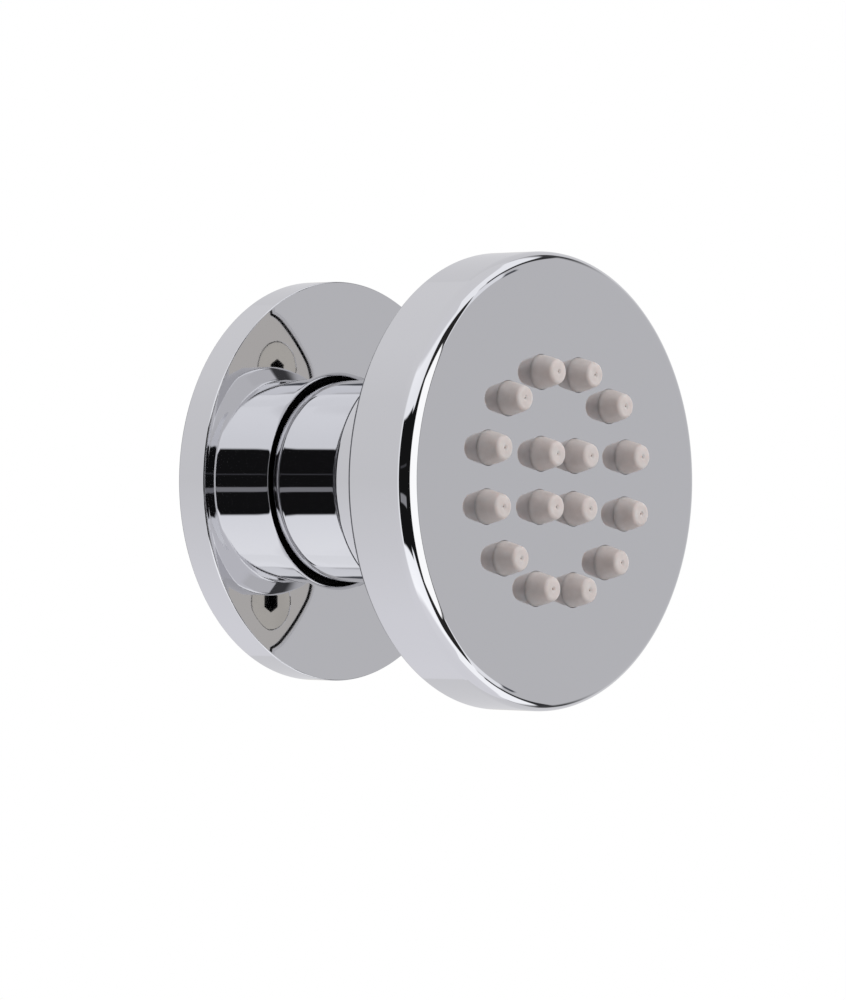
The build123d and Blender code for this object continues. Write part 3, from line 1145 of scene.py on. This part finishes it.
@dataclass
class NozzleMat:
    """Silicone mat behind the face, with sixteen hollow nozzles that stand out through it."""

    layout: NozzleField
    thickness: float = 1.6
    base_radius: float = 2.63
    tip_radius: float = 2.0
    tip_round: float = 0.75
    crown_round: float = 0.6375
    taper_power: float = 1.3
    taper_steps: int = 18
    orifice_radius: float = 0.48
    orifice_throat: float = 0.14
    orifice_depth: float = 0.2
    orifice_round: float = 0.12
    tip_wall: float = 1.4
    bore_radius: float = 1.2

    def nozzle(self, rear: float, shoulder: float, face: float, tip: float) -> np.ndarray:
        """Section of one nozzle, from the mat over the tip and back down the bore.

        Above the face the radius falls as base - (base - tip) (h / H) ^ power, a barrel taper.

        Args:
            rear: Reach of the mat's back.
            shoulder: Reach of the mat's front.
            face: Reach of the face that it stands out of.
            tip: Reach of the nozzle's tip.

        Returns:
            Path of radius and reach.
        """
        height = np.linspace(0, tip - face - self.tip_round, self.taper_steps)
        share = height / height[-1]
        barrel = self.base_radius - (self.base_radius - self.tip_radius) * share**self.taper_power
        taper = np.stack([barrel, face + height], -1)
        slope = (taper[-1] - taper[-2]) / np.linalg.norm(taper[-1] - taper[-2])
        edge = taper[-1] + slope * (self.tip_round / slope[1])
        crown = rounded(
            [
                tuple(taper[-1]),
                (edge[0], tip, self.crown_round),
                (self.orifice_radius, tip, self.orifice_round),
                (self.orifice_throat, tip - self.orifice_depth),
                (self.orifice_throat, tip - self.tip_wall),
                (self.bore_radius, tip - self.tip_wall),
                (self.bore_radius, rear),
            ]
        )
        stem = np.array([(self.base_radius, shoulder)])
        return np.vstack([stem, taper[:-1], crown])

    def build(self) -> bpy.types.Object:
        """Make and dress the mat: its edge, its two webs and the nozzles.

        Returns:
            The mat.
        """
        size = Envelope.of("nozzle_mat")
        shoulder = size.rear + self.thickness
        path = self.nozzle(size.rear, shoulder, Envelope.of("spray_face").front, size.front)
        places = self.layout.nozzles()
        surface = Surface()
        surface.grid(turned(rounded([(size.radius, size.rear), (size.radius, shoulder)]), RING_SEGMENTS))
        for place in places:
            surface.grid(turned(path, NOZZLE_SEGMENTS, tuple(place)))
        surface.web(shoulder, Round(size.radius), holes_at(places, float(path[0, 0]), NOZZLE_SEGMENTS))
        surface.web(size.rear, Round(size.radius), holes_at(places, self.bore_radius, NOZZLE_SEGMENTS))
        piece = surface.piece("moulded_nozzle_mat", SILICONE)
        return stand_for(piece, "nozzle_mat", Body.HEAD)


@dataclass
class HeadScrews:
    """Four countersunk hexagon-socket screws in the back of the head."""

    layout: NozzleField
    head_radius: float = 4.76
    head_edge: float = 0.04
    shank_radius: float = 2.5
    thread_pitch: float = 0.8
    thread_depth: float = 0.45
    rows_per_turn: int = 8
    socket: float = 3.0
    socket_depth: float = 1.9
    socket_chamfer: float = 0.12
    socket_point: float = 0.5
    socket_corner: float = math.pi / 2

    def key_hole(self, rear: float) -> tuple[np.ndarray, np.ndarray]:
        """Radii and reaches of the hexagon socket, from its bottom up to the head's flat.

        Args:
            rear: Reach of the head's flat.

        Returns:
            Radii and reaches, one row per step.
        """
        bottom = rear + self.socket_depth
        key = hexagon(self.socket, HEX_SEGMENTS, self.socket_corner)
        mouth = hexagon(self.socket + 2 * self.socket_chamfer, HEX_SEGMENTS, self.socket_corner)
        reach = np.array([bottom + self.socket_point, bottom, rear + self.socket_chamfer, rear])
        radius = np.vstack([np.zeros_like(key), key, key, mouth])
        return radius, all_round(reach, HEX_SEGMENTS)

    def screw(self, rear: float, front: float) -> tuple[np.ndarray, np.ndarray]:
        """Radii and reaches of one screw, from the mouth of its socket round to its tip.

        Args:
            rear: Reach of the head's flat.
            front: Reach of the tip.

        Returns:
            Radii and reaches, one row per step.
        """
        mouth = hexagon(self.socket + 2 * self.socket_chamfer, HEX_SEGMENTS, self.socket_corner)[None]
        sink = self.head_radius - self.shank_radius
        head = rounded(
            [
                (self.head_radius - 2 * self.head_edge, rear),
                (self.head_radius, rear, self.head_edge),
                (self.shank_radius, rear + sink),
            ]
        )
        count = math.ceil((front - rear - sink) / self.thread_pitch * self.rows_per_turn)
        along = np.linspace(rear + sink, front, count + 1)
        fade = np.clip((along - along[0]) / self.thread_pitch, 0, 1)
        thread = screw_thread(
            along, HEX_SEGMENTS, self.shank_radius, self.thread_pitch, self.thread_depth, fade
        )
        point = self.shank_radius - self.thread_depth + (front - along)
        thread = np.minimum(thread, point[:, None])
        end = np.zeros((1, HEX_SEGMENTS))
        radius = np.vstack([mouth, all_round(head[:, 0], HEX_SEGMENTS), thread, end])
        reach = np.concatenate([[rear], head[:, 1], along, [front]])
        return radius, all_round(reach, HEX_SEGMENTS)

    def build(self) -> bpy.types.Object:
        """Make and dress the screws as one group.

        Returns:
            The screws.
        """
        size = Envelope.of("head_screws")
        radius, reach = self.screw(size.rear, size.front)
        surface = Surface()
        for place in self.layout.screws():
            # The hexagon sockets are painted near black as shade
            surface.grid(polar_grid(*self.key_hole(size.rear), tuple(place)), SOCKET_SHADE)
            surface.grid(polar_grid(radius, reach, tuple(place)))
        piece = surface.piece("hex_socket_screws", STEEL)
        return stand_for(piece, "head_screws", Body.HEAD)


@dataclass
class InnerPieces:
    """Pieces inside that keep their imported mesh, each with its finish."""

    finishes: dict[str, Finish] = field(
        default_factory=lambda: {
            "inlet_filter": ACETAL,
            "flow_regulator": ACETAL,
            "regulator_ring": RUBBER,
            "rear_ball_liner": PTFE,
            "front_ball_seat": PTFE,
            "ball_seal": RUBBER,
            "seat_o_ring": RUBBER,
            "thrust_washer": RUBBER,
            "swivel_nut": BRASS,
            "nozzle_plate": ACETAL,
        }
    )

    def dress(self) -> None:
        """Put each finish on its node."""
        for node, finish in self.finishes.items():
            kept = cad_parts[node]
            for slot in kept.material_slots:
                slot.material = finish.material()
            log.info("%s: %s", node, finish.name)


@dataclass(frozen=True)
class TentPanel:
    """A panel, gap or opening of the light tent.

    Attributes:
        colour: Its tone as sRGB hex.
        around: Where it starts and ends round the tent, in degrees from -x towards -y.
        height: Its lower and upper edge, in degrees above the horizon.
        soft: Width of its soft edge, in degrees.
        lean: Height that its edges lose with each degree towards its end; below nought they gain it.
        tip: Height left above and below the horizon at its end, where it leans.
        slant: Degrees round the tent that its ends move with each degree above or below the horizon.
    """

    colour: str
    around: tuple[float, float]
    height: tuple[float, float]
    soft: float = 2.0
    lean: float = 0.0
    tip: float = 0.0
    slant: float = 0.0


def above_and_below(panel: TentPanel) -> tuple[TentPanel, TentPanel]:
    """Pair a panel above the horizon with its like below."""
    low, high = panel.height
    return panel, replace(panel, height=(-high, -low))


def stage_sheet(name: str, points: np.ndarray, material: bpy.types.Material) -> bpy.types.Object:
    """Make a sheet of the studio, which isn't part of the object.

    Args:
        name: Name of the sheet.
        points: Grid of points in metres, whose columns close on themselves.
        material: What it is made of.

    Returns:
        The sheet.
    """
    surface = Surface()
    surface.grid(points)
    mesh = bpy.data.meshes.new(name)
    mesh.from_pydata(surface.points[0].tolist(), [], surface.faces)
    mesh.materials.append(material)
    made = bpy.data.objects.new(name, mesh)
    bpy.context.scene.collection.objects.link(made)
    return made


@dataclass
class LightTent:
    """White light tent round the object, with grey sides, a softbox and the opening for the camera.

    Directions are degrees round the tent from -x towards -y. The camera stands at about 41 degrees, the
    face looks towards 90, and the wall side lies below 0.

    Attributes:
        radius: Radius of the tent, in metres.
        rings: Rings of points from top to bottom.
        strength: Strength of its glow.
        back: Tones on the wall's side, by degrees above the horizon.
        front: Tones on the face's side, by degrees above the horizon.
        seam: Shares of the way to the face's side between which the one gives way to the other.
        below: Degrees under a leaning edge that its panel can fill.
        panels: What hangs in front of these tones, the nearest last.
    """

    radius: float = 2.0
    rings: int = 48
    strength: float = 1.35
    back: tuple[tuple[float, str], ...] = (
        (-90, "#CBCBD0"),
        (-47, "#CBCBD0"),
        (-25, "#C4C4C8"),
        (0, "#BEBEC1"),
        (30, "#C0C0C3"),
        (47, "#C5C5C8"),
        (90, "#C5C5C8"),
    )
    front: tuple[tuple[float, str], ...] = (
        (-90, "#CACACF"),
        (-55, "#CFCFD4"),
        (-48, "#F6F7FA"),
        (-30, "#EFF0F4"),
        (30, "#E3E4E8"),
        (47, "#E9EAEE"),
        (53, "#C6C6CA"),
        (90, "#C5C5C8"),
    )
    seam: tuple[float, float] = (-0.05, 0.15)
    below: float = 170.0
    panels: tuple[TentPanel, ...] = (
        # Grey side wall, the pale strips above and below it and the dark seams between them
        TentPanel("#B0B0B3", (117, 187), (-60, 60), 3),
        TentPanel("#E4E5E9", (95, 178), (44, 64), 3),
        TentPanel("#F0F1F4", (95, 178), (-64, -44), 3),
        *above_and_below(TentPanel("#2E2E30", (122, 200), (40, 46), 2)),
        # Pale corners beside the softbox, with their dark clips
        TentPanel("#D4D5DA", (116, 130.5), (26, 40.5), 3),
        TentPanel("#DCDDE1", (116, 130.5), (-40.5, -26), 3),
        *above_and_below(TentPanel("#4A4C52", (130.5, 134.5), (23, 31), 1.5)),
        # Far corners, the wall beside them and a warmer patch on it
        *above_and_below(TentPanel("#3C3C3E", (172, 190), (30, 50), 14)),
        TentPanel("#C0C0C3", (189, 240), (-60, 60), 1.5),
        TentPanel("#BCB9B5", (208, 234), (-8, 8), 6),
        # Dark flag, and the softbox in its dark frame
        TentPanel("#242323", (61, 114.5), (-40, 40), 2, lean=-0.65, tip=55.5),
        TentPanel("#242323", (78, 133.5), (-27, 27), 1.5, lean=0.9, slant=0.2),
        TentPanel("#FAFAFA", (80, 132), (-25, 25), 1.5, lean=0.9, slant=0.2),
        # Opening for the camera, with two rails across it
        TentPanel("#131314", (50, 80), (-23, 23), 2),
        TentPanel("#131314", (9, 56), (-28, 25.8), 2),
        TentPanel("#7E7E82", (20, 56), (-9.4, -5.6), 1.0),
        TentPanel("#38383C", (20, 56), (4.6, 5.6), 0.5),
        # Dim stretch on the wall's side
        TentPanel("#5A5A5E", (-122, -61), (-24, 24), 8),
    )

    def mask(self, tree: Tree, angle: Socket, span: tuple[float, float], soft: float) -> Socket:
        """Share of a span of directions: 1 inside it, 0 outside and a soft edge between.

        Args:
            tree: The tent's nodes.
            angle: Direction in degrees.
            span: Where the span starts and ends.
            soft: Width of the edge.

        Returns:
            The share.
        """
        middle, half = (span[0] + span[1]) / 2, (span[1] - span[0]) / 2
        off = add(tree, "Math", {0: angle, 1: middle}, operation="SUBTRACT").outputs[0]
        near = add(tree, "Math", {0: off, 1: 180.0, 2: -180.0}, operation="WRAP").outputs[0]
        away = add(tree, "Math", {0: near}, operation="ABSOLUTE").outputs[0]
        inside = add(
            tree,
            "MapRange",
            {
                "Value": away,
                "From Min": half - soft / 2,
                "From Max": half + soft / 2,
                "To Min": 1.0,
                "To Max": 0.0,
            },
            interpolation_type="SMOOTHSTEP",
        )
        return inside.outputs["Result"]

    def material(self) -> bpy.types.Material:
        """Make fabric that glows by its direction from the object: two ramps of height, then the panels.

        Returns:
            The fabric.
        """
        made = bpy.data.materials.new("lit tent fabric")
        made.use_nodes = True
        tree = made.node_tree
        tree.nodes.clear()
        place = add(tree, "TexCoord").outputs["Object"]
        unit = add(tree, "VectorMath", {0: place}, operation="NORMALIZE")
        axes = add(tree, "SeparateXYZ", {0: unit.outputs["Vector"]}).outputs
        to_left = add(tree, "Math", {0: axes["X"], 1: -1.0}, operation="MULTIPLY").outputs[0]
        to_front = add(tree, "Math", {0: axes["Y"], 1: -1.0}, operation="MULTIPLY").outputs[0]
        turn = add(tree, "Math", {0: to_front, 1: to_left}, operation="ARCTAN2").outputs[0]
        rise = add(tree, "Math", {0: axes["Z"]}, operation="ARCSINE").outputs[0]
        around = add(tree, "Math", {0: turn}, operation="DEGREES").outputs[0]
        height = add(tree, "Math", {0: rise}, operation="DEGREES").outputs[0]
        off_level = add(tree, "Math", {0: height}, operation="ABSOLUTE").outputs[0]
        level = add(tree, "MapRange", {"Value": height, "From Min": -90.0, "From Max": 90.0})
        tones = [
            add(
                tree,
                "ValToRGB",
                {"Fac": level.outputs["Result"]},
                stops=tuple(((degrees + 90) / 180, colour) for degrees, colour in ramp),
            ).outputs["Color"]
            for ramp in (self.back, self.front)
        ]
        ahead = add(
            tree,
            "MapRange",
            {"Value": to_front, "From Min": self.seam[0], "From Max": self.seam[1]},
            interpolation_type="SMOOTHSTEP",
        )
        glow = add(tree, "Mix", {0: ahead.outputs["Result"], 6: tones[0], 7: tones[1]}, data_type="RGBA")
        for panel in self.panels:
            slanted = {0: off_level, 1: -panel.slant, 2: around}
            ends = add(tree, "Math", slanted, operation="MULTIPLY_ADD").outputs[0]
            across = self.mask(tree, ends, panel.around, panel.soft)
            along = self.mask(tree, height, panel.height, panel.soft)
            share = add(tree, "Math", {0: across, 1: along}, operation="MULTIPLY").outputs[0]
            if panel.lean:
                leaning = {0: around, 1: panel.lean, 2: off_level}
                edge = add(tree, "Math", leaning, operation="MULTIPLY_ADD").outputs[0]
                limit = panel.tip + panel.lean * panel.around[1]
                under = self.mask(tree, edge, (limit - self.below, limit), panel.soft)
                share = add(tree, "Math", {0: share, 1: under}, operation="MULTIPLY").outputs[0]
            tone = {0: share, 6: glow.outputs[2], 7: linear(panel.colour)}
            glow = add(tree, "Mix", tone, data_type="RGBA")
        light = add(tree, "Emission", {"Color": glow.outputs[2], "Strength": self.strength})
        add(tree, "OutputMaterial", {"Surface": light.outputs["Emission"]})
        return made

    def build(self) -> bpy.types.Object:
        """Make the tent, a sphere x = R sin(p) cos(a), y = R sin(p) sin(a), z = R cos(p).

        Returns:
            The tent.
        """
        polar = np.linspace(0, math.pi, self.rings)[:, None]
        angle = angles(2 * self.rings)
        sides = self.radius * np.sin(polar)
        points = np.stack(
            [sides * np.cos(angle), sides * np.sin(angle), self.radius * np.cos(polar) + 0 * angle], -1
        )
        made = stage_sheet("light_tent", points, self.material())
        made.visible_camera = False
        made.visible_diffuse = False
        made.visible_shadow = False
        return made


@dataclass
class Studio:
    """Pale floor, white surroundings, two soft lamps and the tent, with lengths in metres."""

    tent: LightTent = field(default_factory=LightTent)
    floor_height: float = -0.3
    floor_radius: float = 0.9
    floor_fade: float = 0.45
    floor_colour: str = "#F4F4F4"
    floor_roughness: float = 0.9
    floor_rings: int = 12
    floor_segments: int = 96
    ambient: float = 0.24
    key_power: float = 12.0
    key_size: float = 0.8
    key_place: tuple[float, float, float] = (0.25, -1.1, 0.75)
    fill_power: float = 5.0
    fill_place: tuple[float, float, float] = (0.3, -0.9, -0.7)
    aim: tuple[float, float, float] = (0.0, -0.04, 0.0)

    def floor_material(self) -> bpy.types.Material:
        """Make a pale matt floor that fades to white towards its edge.

        Returns:
            The floor's material.
        """
        material = bpy.data.materials.new("pale studio floor")
        material.use_nodes = True
        tree = material.node_tree
        shader = tree.nodes["Principled BSDF"]
        shader.inputs["Base Color"].default_value = linear(self.floor_colour)
        shader.inputs["Roughness"].default_value = self.floor_roughness
        place = add(tree, "TexCoord").outputs["Object"]
        flat_place = add(tree, "VectorMath", {0: place, 1: (1.0, 1.0, 0.0)}, operation="MULTIPLY")
        away = add(tree, "VectorMath", {0: flat_place.outputs["Vector"]}, operation="LENGTH")
        edge = add(
            tree,
            "MapRange",
            {"Value": away.outputs["Value"], "From Min": self.floor_fade, "From Max": self.floor_radius},
            interpolation_type="SMOOTHSTEP",
        )
        white = add(tree, "Emission", {"Color": linear("#FFFFFF"), "Strength": 1.0})
        mixed = add(
            tree,
            "MixShader",
            {0: edge.outputs["Result"], 1: shader.outputs["BSDF"], 2: white.outputs["Emission"]},
        )
        tree.links.new(mixed.outputs["Shader"], tree.nodes["Material Output"].inputs["Surface"])
        return material

    def floor(self) -> None:
        """Make the floor, a disc x = r cos(a), y = r sin(a) that takes the object's shadow."""
        radii = np.linspace(0, self.floor_radius, self.floor_rings)[:, None]
        angle = angles(self.floor_segments)
        level = np.full((self.floor_rings, self.floor_segments), self.floor_height)
        points = np.stack([radii * np.cos(angle), radii * np.sin(angle), level], -1)
        made = stage_sheet("floor", points, self.floor_material())
        made.visible_glossy = False

    def surroundings(self) -> None:
        """Make the world: white to the eye and in mirrors, and plain ambient light on everything else."""
        world = bpy.data.worlds.new("white surroundings")
        bpy.context.scene.world = world
        world.use_nodes = True
        tree = world.node_tree
        tree.nodes.clear()
        ray = add(tree, "LightPath").outputs
        seen = add(tree, "Math", {0: ray["Is Camera Ray"], 1: ray["Is Glossy Ray"]}, operation="MAXIMUM")
        either = add(
            tree, "Math", {0: seen.outputs[0], 1: ray["Is Transmission Ray"]}, operation="MAXIMUM"
        )
        level = add(
            tree, "MapRange", {"Value": either.outputs[0], "To Min": self.ambient, "To Max": 1.0}
        )
        light = add(
            tree, "Background", {"Color": linear("#FFFFFF"), "Strength": level.outputs["Result"]}
        )
        add(tree, "OutputWorld", {"Surface": light.outputs["Background"]})

    def lamp(self, name: str, place: tuple[float, float, float], power: float, size: float) -> None:
        """Hang a soft square lamp that looks at the object and isn't seen in the chrome.

        Args:
            name: Name of the lamp.
            place: Where it hangs, in metres.
            power: Its power in watts.
            size: Its width in metres.
        """
        lamp = bpy.data.lights.new(name, "AREA")
        lamp.energy = power
        lamp.size = size
        made = bpy.data.objects.new(name, lamp)
        made.location = place
        made.rotation_euler = (Vector(self.aim) - Vector(place)).to_track_quat("-Z", "Y").to_euler()
        made.visible_glossy = False
        bpy.context.scene.collection.objects.link(made)

    def build(self) -> None:
        """Set up the studio."""
        self.tent.build()
        self.floor()
        self.surroundings()
        self.lamp("key_softbox", self.key_place, self.key_power, self.key_size)
        self.lamp("fill_softbox", self.fill_place, self.fill_power, self.key_size)


@dataclass
class PhotoCamera:
    """Long-lens camera at the photograph's viewing angle.

    The angles are degrees: azimuth from straight in front of the face, elevation above the horizon and
    roll. The aim is a point on the jet's axis, moved sideways and up in the picture.
    """

    azimuth: float = -48.9
    elevation: float = -0.40
    roll: float = 0.58
    distance: float = 750.0
    lens: float = 173.88
    sensor: float = 36.0
    aim_reach: float = 25.0
    aim_right: float = -1.96
    aim_up: float = -2.90
    nearest: float = 10.0

    def build(self) -> bpy.types.Object:
        """Make the camera and let the scene use it.

        Returns:
            The camera.
        """
        turn, rise, roll = (math.radians(value) for value in (self.azimuth, self.elevation, self.roll))
        back = Vector((math.sin(turn) * math.cos(rise), -math.cos(turn) * math.cos(rise), math.sin(rise)))
        level = Vector((math.cos(turn), math.sin(turn), 0))
        upright = back.cross(level)
        right = math.cos(roll) * level + math.sin(roll) * upright
        up = -math.sin(roll) * level + math.cos(roll) * upright
        aim = Vector((0, -self.aim_reach, 0)) + right * self.aim_right + up * self.aim_up
        matrix = Matrix((right, up, back)).transposed().to_4x4()
        matrix.translation = (aim + back * self.distance) * MM
        lens = bpy.data.cameras.new("photo_camera")
        lens.sensor_width = self.sensor
        lens.lens = self.lens
        lens.clip_start = self.nearest * MM
        made = bpy.data.objects.new("photo_camera", lens)
        made.matrix_world = matrix
        bpy.context.scene.collection.objects.link(made)
        bpy.context.scene.camera = made
        return made


def main() -> None:
    """Build the pieces in order, then the studio and the camera."""
    logging.basicConfig(level=logging.INFO, format="%(name)s %(message)s")
    bpy.context.scene.view_settings.view_transform = "Standard"
    layout = NozzleField()
    pieces = (
        WallFlange(),
        WallGasket(),
        BallNipple(),
        HeadBody(layout),
        SprayFace(layout),
        NozzleMat(layout),
        HeadScrews(layout),
    )
    for piece in pieces:
        piece.build()
    InnerPieces().dress()
    Studio().build()
    PhotoCamera().build()


if __name__ == "__main__":
    main()
